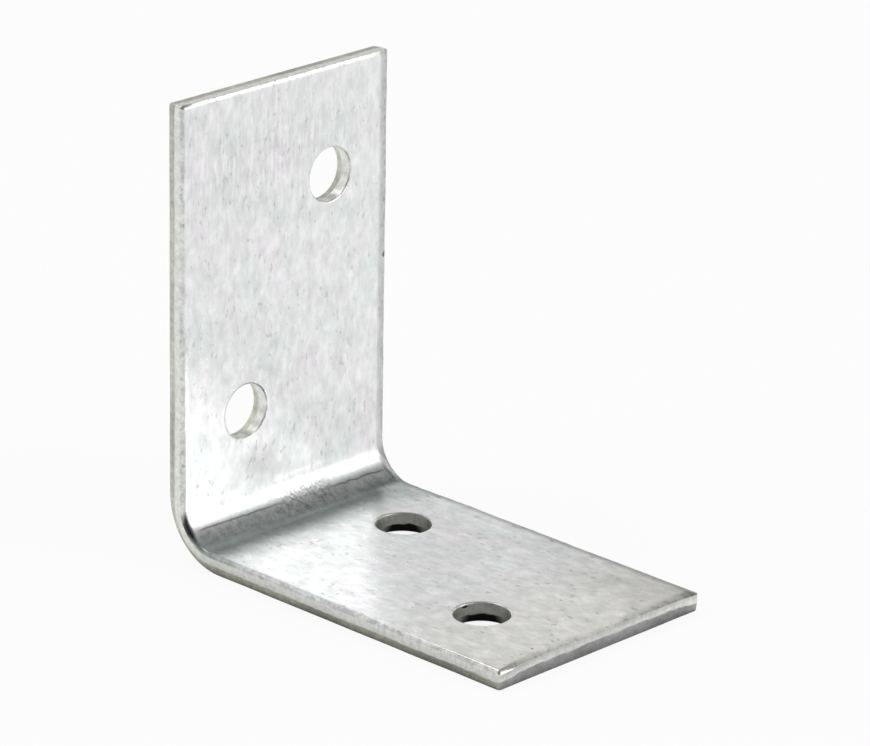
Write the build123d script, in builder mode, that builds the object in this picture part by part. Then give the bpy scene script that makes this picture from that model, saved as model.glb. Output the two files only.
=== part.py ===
from build123d import *
import os

# Angle bracket, in millimetres: one strip of galvanised steel, sheared to length,
# pierced with four holes and folded once into an L.
# The base leg lies flat with its outer face at z = 0 and runs along X. The upright
# stands at its low X end, and the width runs along Y. The origin is at the middle
# of the footprint.

# Legs and sheet
base_length = 48.5
upright_height = 50.5
strip_width = 30.0
sheet_thickness = 2.2

# Bend. A hard-struck fold draws the sheet thin, so the outer radius is larger than
# the inner radius and the sheet together.
inner_bend_radius = 4.0
outer_bend_radius = 7.5

# Sheared edge. The blade drags the inner face down into a roll, cuts a bright
# square land below it, and then the steel breaks away with a slight set-back.
roll_width = 1.2
roll_depth = 0.5
fracture_height = 0.9
fracture_setback = 0.1

# Punched holes. Each is struck from the inner face, so that its mouth is rolled,
# its wall is cut square, and it flares where the slug breaks out of the outer face.
hole_radius = 3.0
mouth_roll_width = 0.5
mouth_roll_depth = 0.25
breakout_radius = 3.15
breakout_depth = 0.9

# Hole places, measured from the outer corner of the fold. On each leg the hole near
# the fold and the far one stand on opposite sides of a line along the strip, which
# lies a little off the strip's middle, as the punches were set.
upright_first_hole = 14.7
upright_hole_pitch = 23.7
upright_stagger = 12.2
upright_line_offset = 0.25
base_first_hole = 14.35
base_hole_pitch = 22.75
base_stagger = 11.5
base_line_offset = 0.05

# How far cutting shapes run past the metal that they cut
overrun = 1.0

# Places that follow from the sizes above
back_x = -base_length / 2
front_x = base_length / 2
inner_x = back_x + sheet_thickness
half_width = strip_width / 2


def sheared_waste(edge_plane):
    """The waste beside a sheared edge, as a flat section.

    The plane's origin is where the inner face and the edge would meet if they were
    sharp. Its X points out of the strip, and its Y points away from the inner face.
    """
    land_end = sheet_thickness - fracture_height
    depth = sheet_thickness + overrun
    setback = fracture_setback * (depth - land_end) / fracture_height
    with BuildSketch(edge_plane) as section:
        with BuildLine():
            EllipticalCenterArc(
                (-roll_width, -roll_depth),
                x_radius=roll_width,
                y_radius=roll_depth,
                start_angle=0,
                arc_size=90,
            )
            Polyline(
                (-roll_width, 0),
                (-roll_width, overrun),
                (overrun, overrun),
                (overrun, -depth),
                (-setback, -depth),
                (0, -land_end),
                (0, -roll_depth),
            )
        make_face()
    return section.sketch


# Long edges: the waste is carried down the upright, round the fold and out along
# the base, on the line where the inner face would meet the side of the strip.
top_corner = (inner_x, -half_width, upright_height + overrun)
long_edge_plane = Plane(origin=top_corner, x_dir=(0, -1, 0), z_dir=(0, 0, 1))

with BuildPart() as long_edge_waste:
    with BuildLine(Plane.XZ.offset(half_width)) as inner_corner:
        FilletPolyline(
            (inner_x, upright_height + overrun),
            (inner_x, sheet_thickness),
            (front_x + overrun, sheet_thickness),
            radius=inner_bend_radius,
        )
    sweep(sections=sheared_waste(long_edge_plane), path=inner_corner.line)
    mirror(about=Plane.XZ)

# Leg ends: the same section is drawn straight across the strip.
top_end_plane = Plane(
    origin=(inner_x, 0, upright_height), x_dir=(0, 0, 1), z_dir=(0, 1, 0)
)
front_end_plane = Plane(
    origin=(front_x, 0, sheet_thickness), x_dir=(1, 0, 0), z_dir=(0, -1, 0)
)

with BuildPart() as leg_end_waste:
    for end_plane in (top_end_plane, front_end_plane):
        extrude(
            sheared_waste(end_plane), amount=half_width + 2 * overrun, both=True
        )

# Slug and clearance of one punched hole, turned about the punch's axis. The inner
# face is at z = 0 here, and the punch travels down.
wall_end = sheet_thickness - breakout_depth
flare = (breakout_radius - hole_radius) / breakout_depth
exit_depth = sheet_thickness + overrun
exit_radius = hole_radius + flare * (exit_depth - wall_end)
mouth_radius = hole_radius + mouth_roll_width

with BuildPart() as punched_hole:
    with BuildSketch(Plane.XZ):
        with BuildLine():
            EllipticalCenterArc(
                (mouth_radius, -mouth_roll_depth),
                x_radius=mouth_roll_width,
                y_radius=mouth_roll_depth,
                start_angle=90,
                arc_size=90,
            )
            Polyline(
                (mouth_radius, 0),
                (mouth_radius, overrun),
                (0, overrun),
                (0, -exit_depth),
                (exit_radius, -exit_depth),
                (hole_radius, -wall_end),
                (hole_radius, -mouth_roll_depth),
            )
        make_face()
    revolve(axis=Axis.Z)

# The bracket: an L drawn in side view and drawn across the strip, oversize at every
# sheared edge, then trimmed by the waste and pierced.
upright_plane = Plane(origin=(inner_x, 0, 0), x_dir=(0, 1, 0), z_dir=(1, 0, 0))
base_plane = Plane(origin=(back_x, 0, sheet_thickness))

with BuildPart() as bracket:
    with BuildSketch(Plane.XZ) as side_view:
        with BuildLine():
            Polyline(
                (back_x, 0),
                (front_x + overrun, 0),
                (front_x + overrun, sheet_thickness),
                (inner_x, sheet_thickness),
                (inner_x, upright_height + overrun),
                (back_x, upright_height + overrun),
                close=True,
            )
        make_face()
        inner_fold = side_view.vertices().sort_by_distance((inner_x, sheet_thickness))[0]
        fillet(inner_fold, radius=inner_bend_radius)
        outer_fold = side_view.vertices().sort_by_distance((back_x, 0))[0]
        fillet(outer_fold, radius=outer_bend_radius)
    extrude(amount=half_width + overrun, both=True)
    add(long_edge_waste.part, mode=Mode.SUBTRACT)
    add(leg_end_waste.part, mode=Mode.SUBTRACT)
    with Locations(upright_plane):
        with Locations(
            (upright_line_offset - upright_stagger / 2, upright_first_hole),
            (
                upright_line_offset + upright_stagger / 2,
                upright_first_hole + upright_hole_pitch,
            ),
        ):
            add(punched_hole.part, mode=Mode.SUBTRACT)
    with Locations(base_plane):
        with Locations(
            (base_first_hole, base_line_offset + base_stagger / 2),
            (
                base_first_hole + base_hole_pitch,
                base_line_offset - base_stagger / 2,
            ),
        ):
            add(punched_hole.part, mode=Mode.SUBTRACT)

bracket.part.label = "bracket"

os.makedirs("parts", exist_ok=True)
export_step(bracket.part, "parts/bracket.step")
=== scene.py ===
import math

import bpy
import numpy as np
from mathutils import Matrix, Vector


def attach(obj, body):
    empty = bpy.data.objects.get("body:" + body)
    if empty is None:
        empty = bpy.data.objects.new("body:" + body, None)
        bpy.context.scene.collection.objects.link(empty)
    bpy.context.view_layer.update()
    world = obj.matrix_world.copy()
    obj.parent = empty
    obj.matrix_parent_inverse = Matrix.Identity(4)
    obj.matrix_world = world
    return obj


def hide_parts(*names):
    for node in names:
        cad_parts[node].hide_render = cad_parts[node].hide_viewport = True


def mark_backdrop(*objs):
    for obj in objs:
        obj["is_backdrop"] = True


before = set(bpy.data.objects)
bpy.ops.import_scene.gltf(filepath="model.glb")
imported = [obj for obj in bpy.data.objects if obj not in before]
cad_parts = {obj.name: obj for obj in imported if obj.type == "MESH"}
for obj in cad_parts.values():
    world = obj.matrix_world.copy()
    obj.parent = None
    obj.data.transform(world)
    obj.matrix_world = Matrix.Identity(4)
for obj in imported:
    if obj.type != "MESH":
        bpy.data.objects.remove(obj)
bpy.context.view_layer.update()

# Sizes of the bracket in millimetres, with the part's own names for them
base_length = 48.5
upright_height = 50.5
strip_width = 30.0
sheet_thickness = 2.2
inner_bend_radius = 4.0
outer_bend_radius = 7.5
roll_width = 1.2
fracture_height = 0.9
fracture_setback = 0.1
hole_radius = 3.0
mouth_roll_width = 0.5
mouth_roll_depth = 0.25
breakout_radius = 3.15
breakout_depth = 0.9
upright_first_hole = 14.7
upright_hole_pitch = 23.7
upright_stagger = 12.2
upright_line_offset = 0.25
base_first_hole = 14.35
base_hole_pitch = 22.75
base_stagger = 11.5
base_line_offset = 0.05

back_x = -base_length / 2
half_width = strip_width / 2
fold_x = back_x + sheet_thickness + inner_bend_radius
fold_z = sheet_thickness + inner_bend_radius

# The strip unrolled: `along` runs down the upright's inner face from its top end,
# round the fold and out to the base's end; `across` is the part's Y; `deep` is the
# depth below the inner face. Each point also has a `stage`: 0 on the inner face, 1 at
# the foot of the roll, 2 at the foot of the land, 3 at that of the fracture, and 4 on
# the outer face.
upright_run = upright_height - fold_z
fold_run = inner_bend_radius * math.pi / 2
base_run = base_length / 2 - fold_x
strip_length = upright_run + fold_run + base_run
fold_end = upright_run + fold_run
land_end = sheet_thickness - fracture_height

hole_along = [
    upright_height - upright_first_hole - upright_hole_pitch,
    upright_height - upright_first_hole,
    fold_end + back_x + base_first_hole - fold_x,
    fold_end + back_x + base_first_hole + base_hole_pitch - fold_x,
]
hole_across = [
    upright_line_offset + upright_stagger / 2,
    upright_line_offset - upright_stagger / 2,
    base_line_offset + base_stagger / 2,
    base_line_offset - base_stagger / 2,
]


# The folded strip
def folded(along, across, deep):
    """Puts a point of the unrolled strip in its place on the bracket.

    The turn grows from 0 to 90 degrees over the fold. The point is the fold's centre,
    less (inner radius + depth) times (cos turn, sin turn), plus what is left of the
    upright's run upwards and what has passed of the base's run outwards.
    """
    turn = np.clip((along - upright_run) / fold_run, 0, 1) * math.pi / 2
    reach = inner_bend_radius + deep
    x = fold_x - reach * np.cos(turn) + np.maximum(along - fold_end, 0)
    z = fold_z - reach * np.sin(turn) + np.maximum(upright_run - along, 0)
    return np.stack([x, across, z], -1)


def sheet_depth(along):
    """Depth of the outer face below the inner one.

    It is the sheet's thickness on the flats. In the fold it is how far the line square
    to the inner face runs before it meets the outer arc, of radius 7.5 mm, which makes
    the drawn sheet thinner there.
    """
    start = folded(along, 0 * along, 0 * along)
    turn = np.clip((along - upright_run) / fold_run, 0, 1) * math.pi / 2
    from_x = start[..., 0] - (back_x + outer_bend_radius)
    from_z = start[..., 2] - outer_bend_radius
    on_line = -from_x * np.cos(turn) - from_z * np.sin(turn)
    left = on_line**2 - from_x**2 - from_z**2 + outer_bend_radius**2
    in_arc = (from_x < 0) & (from_z < 0)
    return np.where(in_arc, np.sqrt(np.maximum(left, 0)) - on_line, sheet_thickness)


def drift(along, across, size, seed):
    """A smooth random height of about -1 to 1: nine sine waves of roughly the given
    size, in seeded directions and phases, added up."""
    rng = np.random.default_rng(seed)
    heading = rng.uniform(0, 2 * math.pi, 9)
    phase = rng.uniform(0, 2 * math.pi, 9)
    pace = 2 * math.pi / size * rng.uniform(0.6, 1.6, 9)
    here = along[..., None] * pace * np.cos(heading)
    here = here + across[..., None] * pace * np.sin(heading)
    return np.sin(here + phase).sum(-1) / 4


def lines(stops, steps):
    """Grid lines: each span between two stops is cut into its number of equal steps."""
    spans = [
        np.linspace(a, b, n, endpoint=False)
        for a, b, n in zip(stops, stops[1:], steps)
    ]
    return np.concatenate([*spans, stops[-1:]])


def border(grid):
    """The outer loop of a grid, once round, with no point twice."""
    return np.concatenate(
        [grid[:-1, 0], grid[-1, :-1], grid[:0:-1, -1], grid[0, :0:-1]]
    )


def let_out(values, low, high, by, fade=4.0):
    """Moves the two outermost lines out by the given amount, and the lines within
    `fade` of them by a share that falls evenly to nothing."""
    near_low = np.clip(1 - (values - low) / fade, 0, 1)
    near_high = np.clip(1 - (high - values) / fade, 0, 1)
    return values + by * (near_high - near_low)


def rounded(along, across, inset, radius):
    """Rounds the corners of a loop that lies on the strip's outline less `inset`.

    A point at a distance m from a corner, where m is less than the radius, goes on the
    corner's arc, at 45 degrees times (1 - m / radius) from where its own side touches
    the arc.
    """
    half = strip_length / 2 - inset
    wide = half_width - inset
    from_end = half - np.abs(along - strip_length / 2)
    from_side = wide - np.abs(across)
    left = np.maximum(from_end, from_side)
    turn = math.pi / 4 * np.clip(1 - left / np.maximum(radius, 1e-9), 0, 1)
    near = radius * (1 - np.cos(turn))
    far = radius * (1 - np.sin(turn))
    on_side = from_side <= from_end
    new_end = np.where(on_side, np.where(left < radius, far, from_end), near)
    new_side = np.where(on_side, near, np.where(left < radius, far, from_side))
    new_end = np.where(left < radius, new_end, from_end)
    new_side = np.where(left < radius, new_side, from_side)
    along = strip_length / 2 + np.sign(along - strip_length / 2) * (half - new_end)
    return along, np.sign(across) * (wide - new_side)


# Grid lines of the faces, which stop `face_inset` short of the strip's sides. They are
# closer in the first `close_lines` millimetres, in the fold, and in the squares round
# the holes. Across the strip, one square's lines serve a hole on either leg.
face_inset = 1.6
close_lines = 0.4
half_square = 5.0
fold_lines = [43.2, 51.7]
near_square, far_square = [-10.8, -0.8], [1.1, 11.3]
low_a, high_a = face_inset, strip_length - face_inset
low_b, high_b = face_inset - half_width, half_width - face_inset
along_stops = np.sort(
    [low_a, low_a + close_lines, *fold_lines, high_a - close_lines, high_a]
    + [middle + side for middle in hole_along for side in (-half_square, half_square)]
)
along_steps = [4, 15, 28, 38, 28, 7, 44, 6, 28, 34, 28, 13, 4]
across_stops = np.array(
    [low_b, low_b + close_lines, *near_square, *far_square, high_b - close_lines, high_b]
)
across_steps = [4, 6, 28, 6, 28, 6, 4]
grid_a = lines(along_stops, along_steps)
grid_b = lines(across_stops, across_steps)
stop_a = np.concatenate([[0], np.cumsum(along_steps)])
stop_b = np.concatenate([[0], np.cumsum(across_steps)])
hole_block = [
    (stop_a[2], stop_a[3], stop_b[4], stop_b[5]),
    (stop_a[4], stop_a[5], stop_b[2], stop_b[3]),
    (stop_a[8], stop_a[9], stop_b[4], stop_b[5]),
    (stop_a[10], stop_a[11], stop_b[2], stop_b[3]),
]

# A small round ends the fracture on the outer face
edge_round = 0.06
outer_inset = fracture_setback + edge_round

# The blade's roll on the sides where it differs from `roll_width`, and its depth on each
near_width, top_width = 0.42, 0.55
near_depth, far_depth, top_depth, base_depth = 0.52, 0.32, 0.18, 0.12

# The mouth's roll, as shares of the part's own width and depth for it
mouth_share, sink_share = 0.5, 0.6

# How much shorter the land is on the two leg ends
top_short, base_short = 0.15, 0.48

# How far from a corner one side's roll has turned into the next one's
top_blend, base_blend = 1.2, 2.5


def face_grid(inset):
    """Strip coordinates of a face's grid whose outermost lines lie at that inset."""
    a = let_out(grid_a, low_a, high_a, face_inset - inset)
    b = let_out(grid_b, low_b, high_b, face_inset - inset)
    return np.meshgrid(a, b, indexing="ij")


def face_cells():
    """True for the cells of a face's grid that are outside the squares round the holes."""
    keep = np.ones((len(grid_a) - 1, len(grid_b) - 1), bool)
    for a0, a1, b0, b1 in hole_block:
        keep[a0:a1, b0:b1] = False
    return keep


def inner_face():
    """The inner face: the grid inside the rolled edges, at no depth."""
    a, b = face_grid(face_inset)
    return np.stack([a, b, 0 * a, 0 * a], -1)


def outer_face():
    """The outer face: the same grid let out to the sheared edge, at the sheet's depth."""
    a, b = face_grid(outer_inset)
    loop_a, loop_b = worn(border(a), border(b), outer_inset)
    a, b = with_border(a, loop_a), with_border(b, loop_b)
    return np.stack([a, b, sheet_depth(a), 0 * a + 4], -1)


def with_border(grid, loop):
    """The grid with its outer loop put in place of the old one."""
    grid = grid.copy()
    n, m = grid.shape[0] - 1, grid.shape[1] - 1
    grid[:-1, 0] = loop[:n]
    grid[-1, :-1] = loop[n : n + m]
    grid[:0:-1, -1] = loop[n + m : 2 * n + m]
    grid[0, :0:-1] = loop[2 * n + m :]
    return grid


def corner_radius(inset, along, across):
    """The strip's corners are square where the roll starts and worn at its side. The
    base's far corner is worn to 0.5 mm, the others to 0.3 mm."""
    far_corner = (along > strip_length / 2) & (across > 0)
    return np.where(far_corner, 0.5, 0.3) * np.clip(1 - inset / roll_width, 0, 1)


def worn(along, across, inset):
    """A loop at that inset with its corners rounded as far as they are worn there."""
    return rounded(along, across, inset, corner_radius(inset, along, across))


def sheared_edge():
    """The edge all round the strip, as rings from the inner face to the outer one.

    At the share u of its width the roll lies depth * (1 - (1 - u^2)^bend) below the
    face. On the near side it is narrow and deep, with bend 0.5, a quarter ellipse that
    runs into the land. On the other sides bend is 0.93, so that it leaves the face
    softly and meets the land at a near corner. Below it come the burnished land, square
    to the face, and the fracture, which sets back evenly by 0.1 mm in 0.9 mm. A small
    quarter round ends it on the outer face. The roll and the land wander over some
    16 mm and shake over some 2 mm along the edge, and the land is shorter on the leg
    ends. Its foot stays at least 0.1 mm below the roll and 0.2 mm above the outer face.
    """
    a, b = face_grid(face_inset)
    start_a, start_b = border(a), border(b)
    wander = drift(start_a, start_b, 16.0, 3)
    shake = drift(start_a, start_b, 2.2, 4)
    none = 0 * wander
    on_base = start_a > strip_length / 2
    blend = np.where(on_base, base_blend, top_blend)
    near_side = np.clip(1 - (start_b - low_b) / blend, 0, 1)
    far_side = np.clip(1 - (high_b - start_b) / blend, 0, 1)
    on_end = 1 - near_side - far_side
    base_end = on_end * on_base
    top_end = on_end - base_end
    width = near_width * near_side + top_width * top_end + roll_width * (far_side + base_end)
    width = width + 0.05 * wander
    depth = near_depth * near_side + far_depth * far_side
    depth = depth + top_depth * top_end + base_depth * base_end
    depth = depth + 0.04 * wander + 0.015 * shake
    bend = 0.93 - 0.43 * near_side
    ends = sheet_depth(start_a)
    break_at = land_end + 0.06 * wander + 0.03 * shake
    break_at = break_at - top_short * top_end - base_short * base_end
    break_at = np.minimum(break_at, ends - 0.2)
    break_at = np.maximum(break_at, depth + 0.1)

    # Each ring is an inset, a depth and a stage: flat out to the roll, then the roll
    rings = [(face_inset + none, none, none)]
    for part in (0.5, 1.0):
        rings.append((face_inset + (width - face_inset) * part, none, none))
    for step in np.linspace(0, 1, 15)[1:]:
        share = math.sin(math.pi / 2 * step)
        down = 1 - max(1 - share**2, 0) ** bend
        rings.append((width * (1 - share), depth * down, step + none))

    # The land
    for part in (0.03, 0.15, 0.4, 0.7, 0.92, 1.0):
        rings.append((none, depth + (break_at - depth) * part, 1 + part + none))

    # The fracture and its round
    foot = ends - edge_round
    for part in (0.12, 0.35, 0.6, 0.85, 1.0):
        deep = break_at + (foot - break_at) * part
        inset = fracture_setback * (deep - break_at) / fracture_height
        rings.append((inset, deep, 2 + part + none))
    last = fracture_setback * (foot - break_at) / fracture_height
    for turn in np.radians([30, 60, 90]):
        rise = edge_round * (1 - math.cos(turn))
        share = rise / edge_round
        inset = last * (1 - share) + (outer_inset - edge_round) * share
        rings.append((inset + rise, foot + edge_round * math.sin(turn), 3 + share + none))

    loops = []
    for inset, deep, stage in rings:
        here_a = let_out(start_a, low_a, high_a, face_inset - inset)
        here_b = let_out(start_b, low_b, high_b, face_inset - inset)
        here_a, here_b = worn(here_a, here_b, inset)
        loops.append(np.stack([here_a, here_b, deep, stage], -1))
    last_a, last_b = worn(*map(border, face_grid(outer_inset)), outer_inset)
    loops[-1] = np.stack([last_a, last_b, ends, 4 + 0 * ends], -1)
    return np.stack(loops)


def punched_hole(number):
    """One hole, as rings from the square round its mouth on the inner face, through
    the rolled mouth, the cut wall and the flare, to the square on the outer face.

    The rings between a square and a circle lie on straight lines from one to the other.
    The mouth is a quarter ellipse, the wall is straight, and the breakout is a cone.
    The mouth and the wall's end wander a little round the hole.
    """
    a0, a1, b0, b1 = hole_block[number]
    centre = np.array([hole_along[number], hole_across[number]])
    inner = np.stack(face_grid(face_inset), -1)[a0 : a1 + 1, b0 : b1 + 1]
    outer_a, outer_b = face_grid(outer_inset)
    outer = np.stack([outer_a, outer_b], -1)[a0 : a1 + 1, b0 : b1 + 1]
    top, foot = border(inner), border(outer)
    count = len(top)
    first, second = top[0] - centre, top[1] - centre
    way = np.sign(first[0] * second[1] - first[1] * second[0])
    angle = math.atan2(first[1], first[0]) + way * np.arange(count) * 2 * math.pi / count
    spoke = np.stack([np.cos(angle), np.sin(angle)], -1)
    wobble = drift(spoke[:, 0] * hole_radius, spoke[:, 1] * hole_radius, 4.0, 20 + number)
    none = 0 * wobble
    mouth = mouth_share * mouth_roll_width + 0.03 * wobble
    sink = sink_share * mouth_roll_depth + 0.015 * wobble
    end = sheet_thickness
    wall_end = end - breakout_depth + 0.04 * wobble

    # Each ring is its flat points, a depth and a stage: the flat, then the rolled mouth
    rings = []
    wide = hole_radius + mouth
    for part in np.array([0, 0.18, 0.36, 0.54, 0.7, 0.84, 0.94, 1.0]):
        flat = top * (1 - part) + (centre + spoke * wide[:, None]) * part
        rings.append((flat, none, none))
    for turn in np.radians(np.linspace(0, 90, 8)[1:]):
        radius = hole_radius + mouth * (1 - math.sin(turn))
        flat = centre + spoke * radius[:, None]
        rings.append((flat, sink * (1 - math.cos(turn)), turn / (math.pi / 2) + none))

    # The cut wall
    for part in (0.15, 0.4, 0.7, 0.92, 1.0):
        deep = sink + (wall_end - sink) * part
        rings.append((centre + spoke * hole_radius, deep, 1 + part + none))

    # The breakout and its round
    spread = breakout_radius - hole_radius
    for part in (0.12, 0.35, 0.6, 0.85, 1.0):
        radius = hole_radius + spread * part
        deep = wall_end + (end - edge_round - wall_end) * part
        rings.append((centre + spoke * radius, deep, 2 + part + none))
    for turn in np.radians([30, 60, 90]):
        radius = breakout_radius + edge_round * (1 - math.cos(turn))
        deep = end - edge_round * (1 - math.sin(turn)) + none
        rings.append((centre + spoke * radius, deep, 4 - math.cos(turn) + none))

    # The outer face, out to the square
    last = centre + spoke * (breakout_radius + edge_round)
    for part in (0.08, 0.25, 0.45, 0.65, 0.83, 1.0):
        rings.append((last * (1 - part) + foot * part, end + none, 4 + none))
    return np.stack(
        [np.stack([flat[:, 0], flat[:, 1], deep, stage], -1) for flat, deep, stage in rings]
    )


def quads(rows, columns, first, closed=False, keep=None):
    """Corner numbers of a grid's cells, counted from `first`. A closed grid's last
    column joins its first."""
    number = first + np.arange(rows * columns).reshape(rows, columns)
    if closed:
        number = np.concatenate([number, number[:, :1]], 1)
    cells = np.stack(
        [number[:-1, :-1], number[:-1, 1:], number[1:, 1:], number[1:, :-1]], -1
    )
    return cells[keep] if keep is not None else cells.reshape(-1, 4)


def pressed(points):
    """Adds the small unevenness of the sheet to its points.

    The inner face swells and sinks by about a hundredth of a millimetre, as rolled
    sheet does. The outer face only sinks. Both fade out at the land.
    """
    along, across, deep = points[:, 0], points[:, 1], points[:, 2]
    swell = 0.010 * drift(along, across, 11.0, 7) + 0.004 * drift(along, across, 4.0, 8)
    inner = swell * np.clip(1 - deep / land_end, 0, 1)
    sunk = 0.012 * (1 + np.clip(drift(along, across, 9.0, 11), -1, 1))
    outer = sunk * np.clip((deep - land_end) / (sheet_thickness - land_end), 0, 1)
    shaped = points.copy()
    shaped[:, 2] = deep + inner - outer
    return shaped


def folded_strip():
    """The whole bracket as one closed mesh of four-sided faces.

    Its faces, edge and holes are grids of strip coordinates. Points that two grids
    share are welded, and then every point is folded into place.
    """
    points, faces, first = [], [], 0
    keep = face_cells()
    grids = [(inner_face(), False, keep, True), (outer_face(), False, keep, False)]
    grids.append((sheared_edge(), True, None, True))
    grids += [(punched_hole(n), True, None, False) for n in range(4)]
    for grid, closed, kept, flip in grids:
        rows, columns = grid.shape[:2]
        cells = quads(rows, columns, first, closed, kept)
        faces.append(cells[:, ::-1] if flip else cells)
        points.append(grid.reshape(-1, 4))
        first += rows * columns
    points, faces = np.concatenate(points), np.concatenate(faces)
    _, at, merged = np.unique(
        np.round(points[:, :3] * 1e5).astype(np.int64),
        axis=0,
        return_index=True,
        return_inverse=True,
    )
    points, faces = points[at], merged.reshape(-1)[faces]
    used, faces = np.unique(faces, return_inverse=True)
    points, faces = points[used], faces.reshape(-1, 4)
    shaped = pressed(points)
    place = folded(shaped[:, 0], shaped[:, 1], shaped[:, 2]) / 1000
    mesh = bpy.data.meshes.new("folded_strip")
    mesh.from_pydata(place.tolist(), [], faces.tolist())
    strip = mesh.attributes.new("strip", "FLOAT_VECTOR", "POINT")
    strip.data.foreach_set("vector", points[:, :3].astype(np.float32).ravel())
    stage = mesh.attributes.new("stage", "FLOAT", "POINT")
    stage.data.foreach_set("value", points[:, 3].astype(np.float32))
    # A map for patterns laid on later: first across the strip, then along it, in
    # tenths of a metre
    chart = mesh.uv_layers.new(name="strip_map")
    chart.data.foreach_set("uv", (points[faces][..., [1, 0]] / 100).astype(np.float32).ravel())
    middle = points[faces, 3].mean(1)
    cut = (middle > 1.0) & (middle < 3.0)
    mesh.polygons.foreach_set("material_index", cut.astype(np.int32))
    mesh.polygons.foreach_set("use_smooth", np.ones(len(faces), bool))
    mesh.update()
    return bpy.data.objects.new("folded_strip", mesh)


# Materials
def paint(code, alpha=1.0):
    """An sRGB hex value as linear colour."""
    parts = [int(code[i : i + 2], 16) / 255 for i in (1, 3, 5)]
    return [c / 12.92 if c <= 0.04045 else ((c + 0.055) / 1.055) ** 2.4 for c in parts] + [alpha]


def add(tree, kind, inputs=None, **settings):
    """Adds one node. Settings are its own properties. An input is a plain value, an
    output socket, or a node whose first output feeds it.

    Inputs go by name or by number. Map Range has its value at 0, its old range at 1 and
    2, and its new one at 3 and 4. Mix has its share at 0, two numbers at 2 and 3, and
    two colours at 6 and 7.
    """
    node = tree.nodes.new("ShaderNode" + kind)
    for name, value in settings.items():
        setattr(node, name, value)
    for name, value in (inputs or {}).items():
        if isinstance(value, bpy.types.Node):
            value = value.outputs[0]
        if isinstance(value, bpy.types.NodeSocket):
            tree.links.new(value, node.inputs[name])
        else:
            node.inputs[name].default_value = value
    return node


def finish_named(name):
    """An empty node material with its output and one Principled shader."""
    material = bpy.data.materials.new(name)
    material.use_nodes = True
    tree = material.node_tree
    tree.nodes.clear()
    shader = add(tree, "BsdfPrincipled")
    add(tree, "OutputMaterial", {"Surface": shader.outputs["BSDF"]})
    return material, tree, shader


def strip_between(tree, value, low, high, soft):
    """1 where a strip coordinate lies between two limits, falling softly to 0."""
    past_low = add(tree, "MapRange", {0: value, 1: low - soft, 2: low + soft})
    past_high = add(tree, "MapRange", {0: value, 1: high + soft, 2: high - soft})
    return add(tree, "Math", {0: past_low, 1: past_high}, operation="MULTIPLY")


def off_spot(tree, place, spot, scale):
    """Distance from a spot on the strip, with each direction first multiplied by its
    scale, so that an oval spot ends at an even distance."""
    off = add(tree, "VectorMath", {0: place, 1: spot}, operation="SUBTRACT")
    off = add(tree, "VectorMath", {0: off, 1: scale}, operation="MULTIPLY")
    return add(tree, "VectorMath", {0: off}, operation="LENGTH").outputs["Value"]


# A nick in the upright's far edge, two scuffs on the base, and a spot of painted shade, a
# dark reflection in the roll, on the near edge where the fold begins: place along and
# across, half length and half breadth
knocks_and_shade_spot = [
    (23.1, 14.7, 0.35, 0.30),
    (91.2, -8.5, 0.18, 0.12),
    (66.5, -13.9, 0.20, 0.10),
    (46.6, -14.75, 1.60, 0.42),
]

# Where the crease crosses the strip, at its near and at its far edge
crease_ends = 47.15, 47.75


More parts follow.
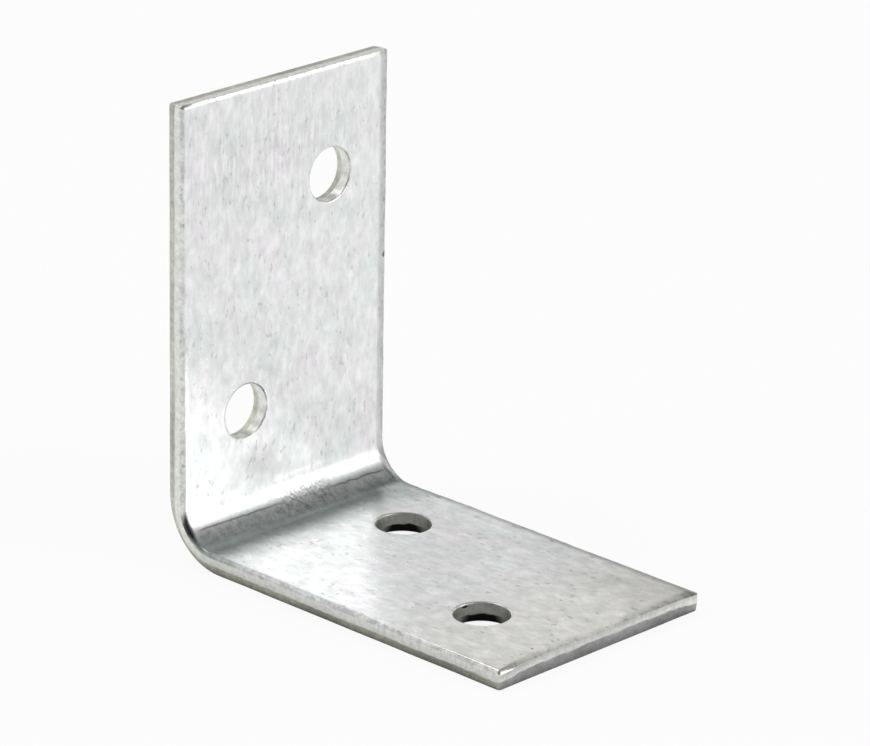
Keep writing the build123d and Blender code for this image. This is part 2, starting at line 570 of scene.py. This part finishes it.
def galvanised():
    """Hot-dip galvanised steel sheet, with the zinc's spangle rolled out.

    It is a satin silver metal. The temper rolls leave soft blotches and dashes along
    the strip, the zinc is a shade greener or pinker in patches of some millimetres,
    and handling has left grey flecks. A crease crosses the fold where the bending
    punch's nose ended, and in its middle the zinc is galled into short ridges. The
    crease's dark line and the bluer grey past it are painted shade.
    """
    material, tree, shader = finish_named("hot_dip_galvanised_steel")
    shader.inputs["Metallic"].default_value = 1.0
    place = add(tree, "Attribute", attribute_name="strip").outputs["Vector"]
    stage = add(tree, "Attribute", attribute_name="stage").outputs["Fac"]
    parts = add(tree, "SeparateXYZ", {"Vector": place})
    along, across = parts.outputs["X"], parts.outputs["Y"]

    # Tint in patches of about 5 mm
    drawn = add(tree, "VectorMath", {0: place, 1: (0.8, 1, 1)}, operation="MULTIPLY")
    cloud = add(tree, "TexNoise", {"Vector": drawn, "Scale": 0.2, "Detail": 1.5})
    cloud = add(tree, "MapRange", {0: cloud, 1: 0.35, 2: 0.65})
    tint = add(
        tree,
        "Mix",
        {0: cloud, 6: paint("#E7EBE9"), 7: paint("#EDEBED")},
        data_type="RGBA",
    )

    # Blotches of the rolled-out spangle, 1.4 mm wide and 2 mm long, with finer ones
    # inside, and dashes of the temper rolls, 0.6 mm wide and 1.5 mm long
    drawn = add(tree, "VectorMath", {0: place, 1: (0.7, 1, 1)}, operation="MULTIPLY")
    blotches = add(
        tree,
        "TexNoise",
        {"Vector": drawn, "Scale": 0.7, "Detail": 4.0, "Roughness": 0.62, "Distortion": 0.3},
    )
    drawn = add(tree, "VectorMath", {0: place, 1: (0.4, 1, 1)}, operation="MULTIPLY")
    dashes = add(
        tree,
        "TexNoise",
        {"Vector": drawn, "Scale": 1.6, "Detail": 1.5, "Roughness": 0.6},
    )

    # Grey flecks of 0.3 to 0.8 mm, gathered in some places
    drawn = add(tree, "VectorMath", {0: place, 1: (0.7, 1, 1)}, operation="MULTIPLY")
    gathered = add(tree, "TexNoise", {"Vector": drawn, "Scale": 0.3, "Detail": 1.0})
    limit = add(tree, "MapRange", {0: gathered, 1: 0.35, 2: 0.65, 3: 0.70, 4: 0.58})
    drawn = add(tree, "VectorMath", {0: place, 1: (0.55, 1, 1)}, operation="MULTIPLY")
    flecks = add(tree, "TexNoise", {"Vector": drawn, "Scale": 1.9, "Detail": 1.5})
    over = add(tree, "Math", {0: flecks, 1: limit}, operation="SUBTRACT")
    flecked = add(
        tree,
        "MapRange",
        {0: over, 1: 0.0, 2: 0.10},
        interpolation_type="SMOOTHSTEP",
    )
    fleck = add(tree, "MapRange", {0: flecked, 3: 1.0, 4: 0.80})
    wide_patches = add(tree, "MapRange", {0: gathered, 1: 0.35, 2: 0.65, 3: 1.03, 4: 0.97})

    # High on the upright the strip was dragged: streaks 0.4 mm wide and 4 mm long
    drawn = add(tree, "VectorMath", {0: place, 1: (0.1, 1, 1)}, operation="MULTIPLY")
    streaks = add(
        tree,
        "TexNoise",
        {"Vector": drawn, "Scale": 2.4, "Detail": 2.0, "Roughness": 0.6},
    )
    streaks = add(tree, "MapRange", {0: streaks, 1: 0.35, 2: 0.65, 3: 0.87, 4: 1.03})
    high_up = strip_between(tree, along, 2.0, 13.0, 4.0)
    near_part = strip_between(tree, across, -16.0, 8.0, 4.0)
    dragged = add(tree, "Math", {0: high_up, 1: near_part}, operation="MULTIPLY")
    streaks = add(tree, "MapRange", {0: dragged, 3: 1.0, 4: streaks})

    # The crease: a line of painted shade 0.2 mm wide that wavers, fainter where the zinc is
    # galled
    lean = add(
        tree,
        "MapRange",
        {0: across, 1: -half_width, 2: half_width, 3: crease_ends[0], 4: crease_ends[1]},
    )
    drawn = add(tree, "VectorMath", {0: place, 1: (0, 1, 1)}, operation="MULTIPLY")
    waver = add(tree, "TexNoise", {"Vector": drawn, "Scale": 0.5, "Detail": 2.0})
    waver = add(tree, "MapRange", {0: waver, 1: 0.3, 2: 0.7, 3: -0.12, 4: 0.12})
    line = add(tree, "Math", {0: lean, 1: waver}, operation="ADD")
    past_line = add(tree, "Math", {0: along, 1: line}, operation="SUBTRACT")
    off_line = add(tree, "Math", {0: past_line}, operation="ABSOLUTE")
    crease = add(
        tree,
        "MapRange",
        {0: off_line, 1: 0.17, 2: 0.02},
        interpolation_type="SMOOTHSTEP",
    )
    reach = strip_between(tree, across, -13.6, 13.4, 0.5)
    crease = add(tree, "Math", {0: crease, 1: reach}, operation="MULTIPLY")
    wide = strip_between(tree, across, -2.6, 5.6, 1.4)
    high = strip_between(tree, past_line, -1.5, 1.9, 0.6)
    galled = add(tree, "Math", {0: wide, 1: high}, operation="MULTIPLY")
    whole = add(tree, "MapRange", {0: galled, 3: 1.0, 4: 0.25})
    crease = add(tree, "Math", {0: crease, 1: whole}, operation="MULTIPLY")
    crease_shade = add(tree, "MapRange", {0: crease, 3: 1.0, 4: 0.45})

    # The galled ridges are 0.7 mm wide, and the zinc between them is smeared grey
    drawn = add(tree, "VectorMath", {0: place, 1: (0.7, 1, 1)}, operation="MULTIPLY")
    ridges = add(
        tree,
        "TexNoise",
        {"Vector": drawn, "Scale": 1.5, "Detail": 2.5, "Roughness": 0.7},
    )
    low_spots = add(tree, "MapRange", {0: ridges, 1: 0.56, 2: 0.40})
    rubbed = add(tree, "Math", {0: galled, 1: low_spots}, operation="MULTIPLY")
    smear = add(tree, "MapRange", {0: rubbed, 3: 1.0, 4: 0.66})

    # The zinc is stretched and dull, in specks of 0.6 mm, where the sheet rolls over to a
    # sheared edge. The roll is also painted darker along the far side and still more along
    # the near one, as painted shade, and lighter on the base's end, as painted light
    rolled = strip_between(tree, stage, 0.25, 1.3, 0.2)
    far_roll_shade = add(tree, "MapRange", {0: across, 1: 12.0, 2: 14.0, 3: 1.0, 4: 0.92})
    near_roll_shade = add(tree, "MapRange", {0: across, 1: -14.0, 2: -12.0, 3: 0.86, 4: 1.0})
    end_roll_light = add(tree, "MapRange", {0: along, 1: 91.6, 2: 92.2, 3: 1.0, 4: 1.13})
    specks = add(
        tree,
        "TexNoise",
        {"Vector": place, "Scale": 1.6, "Detail": 3.0, "Roughness": 0.7},
    )
    specks = add(tree, "MapRange", {0: specks, 1: 0.38, 2: 0.58, 3: 0.78, 4: 1.08})
    roll_dulling_shade_light = far_roll_shade
    for part in (near_roll_shade, specks, end_roll_light):
        roll_dulling_shade_light = add(tree, "Math", {0: roll_dulling_shade_light, 1: part}, operation="MULTIPLY")
    roll_dull_shade_light = add(tree, "MapRange", {0: rolled, 3: 1.0, 4: roll_dulling_shade_light})

    # A darker band along the far edge is painted shade, a dimmer reflection there, and the
    # zinc darkens towards the base's far corner
    far_edge_shade = add(tree, "MapRange", {0: across, 1: 13.5, 2: 13.95, 3: 1.0, 4: 0.74})
    toward_far_corner = off_spot(tree, place, (98, 15, 0), (1 / 30, 1 / 11, 0))
    toward_far_corner = add(tree, "MapRange", {0: toward_far_corner, 1: 0.2, 2: 1.1, 3: 0.70, 4: 1.0})

    # Under the crease grime from the punch has stayed in spots of 0.8 mm and less
    grime = add(
        tree,
        "TexNoise",
        {"Vector": place, "Scale": 1.3, "Detail": 3.0, "Roughness": 0.7},
    )
    grime = add(tree, "MapRange", {0: grime, 1: 0.46, 2: 0.60})
    under = strip_between(tree, past_line, 0.1, 2.2, 0.5)
    grime = add(tree, "Math", {0: grime, 1: under}, operation="MULTIPLY")
    grey = add(tree, "MapRange", {0: grime, 3: 1.0, 4: 0.74})

    # Towards the base's end the zinc is yellower
    end_of_base = add(tree, "MapRange", {0: along, 1: 74.0, 2: 92.0})
    tint = add(
        tree,
        "Mix",
        {0: end_of_base, 6: tint.outputs[2], 7: paint("#EAE9E2")},
        data_type="RGBA",
    )

    # Past the fold the zinc is painted a darker, bluer grey, as painted shade and reflection of
    # the fold's turn
    shade_from = add(tree, "MapRange", {0: past_line, 1: 0.4, 2: 1.8})
    shade_to = add(tree, "MapRange", {0: past_line, 1: 8.5, 2: 3.8})
    fold_shade = add(tree, "Math", {0: shade_from, 1: shade_to}, operation="MULTIPLY")
    tint = add(
        tree,
        "Mix",
        {0: fold_shade, 6: tint.outputs[2], 7: paint("#B2BBB7")},
        data_type="RGBA",
    )

    # The knocks and the painted shade spot are nearly black
    marks = 0.0
    for spot_along, spot_across, half_length, half_breadth in knocks_and_shade_spot:
        scale = (1 / half_length, 1 / half_breadth, 0)
        off = off_spot(tree, place, (spot_along, spot_across, 0), scale)
        dark_spot = add(tree, "MapRange", {0: off, 1: 1.2, 2: 0.6})
        marks = add(tree, "Math", {0: marks, 1: dark_spot}, operation="MAXIMUM")
    black = add(tree, "MapRange", {0: marks, 3: 1.0, 4: 0.15})

    # The tint, lighter or darker by all of these together
    light = add(tree, "MapRange", {0: blotches, 1: 0.2, 2: 0.8, 3: 0.84, 4: 1.16}, clamp=False)
    dash = add(tree, "MapRange", {0: dashes, 1: 0.2, 2: 0.8, 3: 0.91, 4: 1.09}, clamp=False)
    tones = [dash, wide_patches, streaks, fleck, crease_shade, grey]
    tones += [smear, roll_dull_shade_light, far_edge_shade, toward_far_corner, black]
    shade = light
    for tone in tones:
        shade = add(tree, "Math", {0: shade, 1: tone}, operation="MULTIPLY")
    colour = add(tree, "VectorMath", {0: tint.outputs[2], "Scale": shade}, operation="SCALE")
    tree.links.new(colour.outputs[0], shader.inputs["Base Color"])

    # The blotches are glossier where they are lighter. Flecks, rolls and the flat just
    # above the fold are rougher.
    rough = add(tree, "MapRange", {0: blotches, 1: 0.2, 2: 0.8, 3: 0.32, 4: 0.25})
    above_fold = strip_between(tree, along, 36.0, 43.5, 2.0)
    for where, rougher in ((flecked, 0.10), (rolled, 0.06), (above_fold, 0.07)):
        rough = add(tree, "Math", {0: where, 1: rougher, 2: rough}, operation="MULTIPLY_ADD")
    tree.links.new(rough.outputs[0], shader.inputs["Roughness"])

    # Heights in millimetres; the Bump node's distance turns them to metres
    height = add(tree, "Math", {0: blotches, 1: 0.010}, operation="MULTIPLY")
    lifted = add(tree, "Math", {0: galled, 1: ridges}, operation="MULTIPLY")
    for where, rise in ((flecked, -0.004), (lifted, 0.08)):
        height = add(tree, "Math", {0: where, 1: rise, 2: height}, operation="MULTIPLY_ADD")
    bump = add(tree, "Bump", {"Height": height, "Distance": 0.001})
    tree.links.new(bump.outputs[0], shader.inputs["Normal"])
    return material


def sheared():
    """Bare steel of a sheared edge, as the blade left it.

    The land is burnished bright, with faint lines through the sheet. Below it the
    torn fracture is a dull, grainy grey. The border between them is slightly ragged.
    In the base's holes the fracture and wall are painted dark, as shade.
    """
    material, tree, shader = finish_named("sheared_steel_edge")
    shader.inputs["Metallic"].default_value = 1.0
    place = add(tree, "Attribute", attribute_name="strip").outputs["Vector"]
    stage = add(tree, "Attribute", attribute_name="stage").outputs["Fac"]

    # The torn border wanders by about 0.1 mm, over 1.2 mm and with finer teeth
    wander = add(
        tree,
        "TexNoise",
        {"Vector": place, "Scale": 0.8, "Detail": 6.0, "Roughness": 0.62},
    )
    wander = add(tree, "MapRange", {0: wander, 1: 0.3, 2: 0.7, 3: -0.14, 4: 0.14}, clamp=False)
    there = add(tree, "Math", {0: stage, 1: wander}, operation="ADD")
    torn = add(tree, "MapRange", {0: there, 1: 1.94, 2: 2.08})

    # Score lines of the blade on the land, 0.4 mm apart and faint, and specks of zinc
    # drawn over it, 0.6 mm in size
    scored = add(tree, "VectorMath", {0: place, 1: (1, 1, 0.1)}, operation="MULTIPLY")
    scores = add(tree, "TexNoise", {"Vector": scored, "Scale": 2.5, "Detail": 2.0})
    land = add(
        tree,
        "Mix",
        {0: scores, 6: paint("#E3E5E0"), 7: paint("#F1F2ED")},
        data_type="RGBA",
    )
    specks = add(
        tree,
        "TexNoise",
        {"Vector": place, "Scale": 1.6, "Detail": 4.0, "Roughness": 0.7},
    )
    specks = add(tree, "MapRange", {0: specks, 1: 0.38, 2: 0.60, 3: 0.84, 4: 1.04})
    land = add(tree, "VectorMath", {0: land.outputs[2], "Scale": specks}, operation="SCALE")

    # Grain of the fracture, from 1 mm down to 0.1 mm, and darker and lighter stretches
    # of about 11 mm
    grain = add(
        tree,
        "TexNoise",
        {"Vector": place, "Scale": 1.0, "Detail": 4.0, "Roughness": 0.75},
    )
    speckle = add(tree, "MapRange", {0: grain, 1: 0.3, 2: 0.7})
    fracture = add(
        tree,
        "Mix",
        {0: speckle, 6: paint("#B8B8AA"), 7: paint("#E0E0D4")},
        data_type="RGBA",
    )
    stretches = add(tree, "TexNoise", {"Vector": place, "Scale": 0.09, "Detail": 1.0})
    stretches = add(tree, "MapRange", {0: stretches, 1: 0.3, 2: 0.7, 3: 0.78, 4: 1.18})

    # In the base's holes the fracture on the side towards the upright's far edge is painted
    # black, as painted shade, and away from that side the whole wall is painted darker, also
    # as shade. How far towards it a point lies is measured from the middle of its hole.
    parts = add(tree, "SeparateXYZ", {"Vector": place})
    along, across = parts.outputs["X"], parts.outputs["Y"]
    in_base = strip_between(tree, along, 52.0, 88.0, 0.5)
    in_middle = strip_between(tree, across, -11.0, 11.0, 0.5)
    in_hole = add(tree, "Math", {0: in_base, 1: in_middle}, operation="MULTIPLY")
    far_way = (-0.69, 0.72, 0.0)
    far_off = add(tree, "VectorMath", {0: place, 1: far_way}, operation="DOT_PRODUCT")
    middles = [
        far_way[0] * a + far_way[1] * b for a, b in zip(hole_along[2:], hole_across[2:])
    ]
    middle = add(
        tree,
        "MapRange",
        {0: along, 1: 69.9, 2: 70.1, 3: middles[0], 4: middles[1]},
    )
    far_off = add(
        tree, "Math", {0: far_off.outputs["Value"], 1: middle}, operation="SUBTRACT"
    )
    hole_fracture_shade = add(tree, "MapRange", {0: far_off, 1: 2.1, 2: 2.75})
    hole_fracture_shade = add(tree, "Math", {0: hole_fracture_shade, 1: in_hole}, operation="MULTIPLY")
    stretch_and_hole_shade = add(tree, "MapRange", {0: hole_fracture_shade, 3: stretches, 4: 0.05})
    away = add(tree, "MapRange", {0: far_off, 1: 0.3, 2: 2.4, 3: 0.45, 4: 1.1})
    away = add(tree, "MapRange", {0: in_hole, 3: 1.0, 4: away})
    fracture = add(
        tree,
        "VectorMath",
        {0: fracture.outputs[2], "Scale": stretch_and_hole_shade},
        operation="SCALE",
    )

    # On the base's end the fracture is a darker, bluer grey than that along the sides, and
    # the land is painted darker just below the roll, as painted shade that brightens from the
    # roll down
    at_end = add(
        tree,
        "MapRange",
        {0: along, 1: strip_length - 0.25, 2: strip_length - 0.15},
    )
    land_shade_below_roll = add(tree, "MapRange", {0: stage, 1: 1.1, 2: 1.75, 3: 0.76, 4: 1.02})
    land_shade_below_roll = add(tree, "MapRange", {0: at_end, 3: 1.0, 4: land_shade_below_roll})
    land = add(tree, "VectorMath", {0: land, "Scale": land_shade_below_roll}, operation="SCALE")
    cooler = add(
        tree,
        "Mix",
        {0: at_end, 6: (1, 1, 1, 1), 7: (0.78, 0.78, 0.90, 1)},
        data_type="RGBA",
    )
    fracture = add(
        tree, "VectorMath", {0: fracture, 1: cooler.outputs[2]}, operation="MULTIPLY"
    )

    # Under the rim of the base's outer hole is a black chip, 0.8 mm long
    chip = off_spot(tree, place, (78.6, -5.2, 0.33), (2.6, 2.6, 7.0))
    chip = add(tree, "MapRange", {0: chip, 1: 0.7, 2: 1.2, 3: 0.05, 4: 1.0})
    shade = add(tree, "Math", {0: chip, 1: away}, operation="MULTIPLY")
    colour = add(
        tree,
        "Mix",
        {0: torn, 6: land.outputs[0], 7: fracture.outputs[0]},
        data_type="RGBA",
    )
    colour = add(tree, "VectorMath", {0: colour.outputs[2], "Scale": shade}, operation="SCALE")
    tree.links.new(colour.outputs[0], shader.inputs["Base Color"])

    # The land is smoother than the fracture, and only the fracture is uneven
    rough = add(tree, "MapRange", {0: torn, 3: 0.36, 4: 0.62})
    tree.links.new(rough.outputs[0], shader.inputs["Roughness"])
    tear = add(tree, "Math", {0: grain, 1: torn}, operation="MULTIPLY")
    bump = add(tree, "Bump", {"Height": tear, "Distance": 0.00005})
    tree.links.new(bump.outputs[0], shader.inputs["Normal"])
    return material


bracket = folded_strip()
bpy.context.scene.collection.objects.link(bracket)
bracket.data.materials.append(galvanised())
bracket.data.materials.append(sheared())
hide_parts("bracket")
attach(bracket, "root")


# Stage and light. The room and its white backdrop are this bright in the metal, where
# white paper in full light is 1.
room_glow = 0.15
backdrop_white = 0.9


def stage_floor():
    """A pale round floor, just under the base. The camera and the metal see it mostly
    as even white, and the rest is its own shade, with the bracket's shadow. What the
    metal sees of it darkens under the bracket and in the base's holes."""
    turn = np.linspace(0, 2 * math.pi, 96, endpoint=False)
    rim = np.stack([2.0 * np.cos(turn), 2.0 * np.sin(turn), 0 * turn - 2e-5], -1)
    mesh = bpy.data.meshes.new("floor")
    mesh.from_pydata(rim.tolist(), [], [list(range(96))])
    floor = bpy.data.objects.new("floor", mesh)
    bpy.context.scene.collection.objects.link(floor)
    material, tree, shader = finish_named("pale_paper")
    shader.inputs["Base Color"].default_value = paint("#F2F2F2")
    shader.inputs["Roughness"].default_value = 0.9
    shader.inputs["Specular IOR Level"].default_value = 0.2
    ray = add(tree, "LightPath")
    seen = add(
        tree,
        "Math",
        {0: ray.outputs["Is Camera Ray"], 1: ray.outputs["Is Glossy Ray"]},
        operation="ADD",
    )
    seen = add(tree, "Math", {0: seen, 1: ray.outputs["Is Transmission Ray"]}, operation="ADD")
    share = add(tree, "MapRange", {0: seen, 4: 0.88})
    level = add(tree, "MapRange", {0: ray.outputs["Is Glossy Ray"], 3: 1.0, 4: 0.94})
    white = add(tree, "Emission", {"Color": (1, 1, 1, 1), "Strength": level})
    even = add(tree, "MixShader", {0: share, 1: shader, 2: white})
    shut = add(tree, "AmbientOcclusion", {"Distance": 0.008}, samples=8).outputs["AO"]
    shut = add(tree, "MapRange", {0: shut, 1: 0.93, 2: 0.62, 4: 0.88})
    first = add(tree, "Math", {0: ray.outputs["Ray Depth"], 1: 1.5}, operation="LESS_THAN")
    shut = add(tree, "Math", {0: shut, 1: first}, operation="MULTIPLY")
    shut = add(tree, "Math", {0: shut, 1: ray.outputs["Is Glossy Ray"]}, operation="MULTIPLY")
    dark = add(tree, "BsdfDiffuse", {"Color": paint("#000000")})
    looks = add(tree, "MixShader", {0: shut, 1: even, 2: dark})
    output = next(n for n in tree.nodes if n.type == "OUTPUT_MATERIAL")
    tree.links.new(looks.outputs[0], output.inputs["Surface"])
    floor.data.materials.append(material)
    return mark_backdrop(floor)


def studio_world():
    """The room. The camera sees it as white. The metal sees a white backdrop that
    hangs behind the bracket, 9 to 33 degrees up, and a dim room elsewhere. The limits
    of its height are sines of the elevation."""
    world = bpy.data.worlds.new("studio")
    bpy.context.scene.world = world
    world.use_nodes = True
    tree = world.node_tree
    tree.nodes.clear()
    ray = add(tree, "LightPath")
    way = add(tree, "TexCoord").outputs["Generated"]
    rise = add(tree, "SeparateXYZ", {"Vector": way}).outputs["Z"]
    low = add(tree, "MapRange", {0: rise, 1: 0.60, 2: 0.50})
    high = add(tree, "MapRange", {0: rise, 1: 0.10, 2: 0.21})
    level = add(tree, "Math", {0: low, 1: high}, operation="MULTIPLY")
    behind = add(tree, "VectorMath", {0: way, 1: (-0.70, 0.72, 0)}, operation="DOT_PRODUCT")
    behind = add(tree, "MapRange", {0: behind.outputs["Value"], 1: -0.3, 2: 0.1})
    backdrop = add(tree, "Math", {0: level, 1: behind}, operation="MULTIPLY")
    backdrop = add(tree, "MapRange", {0: backdrop, 3: room_glow, 4: backdrop_white})
    mirrored = add(
        tree,
        "Math",
        {0: ray.outputs["Is Glossy Ray"], 1: ray.outputs["Is Transmission Ray"]},
        operation="ADD",
    )
    seen = add(tree, "Mix", {0: mirrored, 2: 0.6, 3: backdrop})
    strength = add(tree, "Mix", {0: ray.outputs["Is Camera Ray"], 2: seen, 3: 1.0})
    dome = add(tree, "Background", {"Color": (1, 1, 1, 1), "Strength": strength})
    add(tree, "OutputWorld", {"Surface": dome})


def soft_box(name, azimuths, elevations, strength, distance=1.0):
    """A soft light that faces the bracket and covers that span of azimuth and
    elevation, in degrees. Azimuth 0 is -Y and 90 is +X. Strength 1 is as bright as
    white paper in full light."""
    a, e = (math.radians(sum(span) / 2) for span in (azimuths, elevations))
    wide, high = (math.radians(span[1] - span[0]) for span in (azimuths, elevations))
    away = Vector((math.sin(a) * math.cos(e), -math.cos(a) * math.cos(e), math.sin(e)))
    light = bpy.data.lights.new(name, "AREA")
    light.shape = "RECTANGLE"
    light.size = 2 * math.tan(wide / 2) * math.cos(e) * distance
    light.size_y = 2 * math.tan(high / 2) * distance
    light.energy = strength * math.pi * light.size * light.size_y
    lamp = bpy.data.objects.new(name, light)
    lamp.location = away * distance
    lamp.rotation_euler = away.to_track_quat("Z", "Y").to_euler()
    lamp.visible_camera = False
    bpy.context.scene.collection.objects.link(lamp)


stage_floor()
studio_world()

# The turn of the fold mirrors the window, and dim sheets round it soften its border.
# The other lamps light the rolls and the cut edges, which face other ways.
soft_box("back_right_window", (112, 132), (11, 30), 4.0)
soft_box("back_right_sheet", (104, 138), (1, 33), 0.3)
soft_box("back_right_high", (104, 138), (33, 60), 0.8)
soft_box("back_right_low", (108, 140), (0, 11), 0.9)
soft_box("right_sheet", (70, 104), (1, 33), 0.75)
soft_box("left_high", (260, 320), (50, 72), 2.7)
soft_box("left_low", (280, 335), (2, 40), 0.45)
soft_box("back_high", (138, 206), (50, 72), 0.25)
soft_box("back_left_high", (206, 260), (50, 72), 0.35)


# Camera
def camera_at(azimuth, elevation, roll, distance, aim, lens):
    """A camera that looks at the aim point from that azimuth and elevation, in degrees.
    The aim point and the distance from it are in the bracket's millimetres."""
    a, e, r = (math.radians(v) for v in (azimuth, elevation, roll))
    back = Vector((math.sin(a) * math.cos(e), -math.cos(a) * math.cos(e), math.sin(e)))
    side = Vector((0, 0, 1)).cross(back).normalized()
    top = back.cross(side)
    right = math.cos(r) * side + math.sin(r) * top
    up = math.cos(r) * top - math.sin(r) * side
    camera = bpy.data.objects.new("camera", bpy.data.cameras.new("camera"))
    camera.data.sensor_width = 36.0
    camera.data.lens = lens
    camera.data.clip_start, camera.data.clip_end = 0.05, 20.0
    camera.rotation_mode = "QUATERNION"
    camera.location = Vector(aim) / 1000 + back * distance / 1000
    turned = Matrix((right, up, back)).transposed()
    camera.rotation_quaternion = turned.to_quaternion()
    bpy.context.scene.collection.objects.link(camera)
    bpy.context.scene.camera = camera


camera_at(
    azimuth=44.094,
    elevation=20.587,
    roll=0.959,
    distance=545.5,
    aim=(-1.462, 1.539, 22.778),
    lens=217.25,
)

bpy.context.scene.view_settings.view_transform = "Standard"
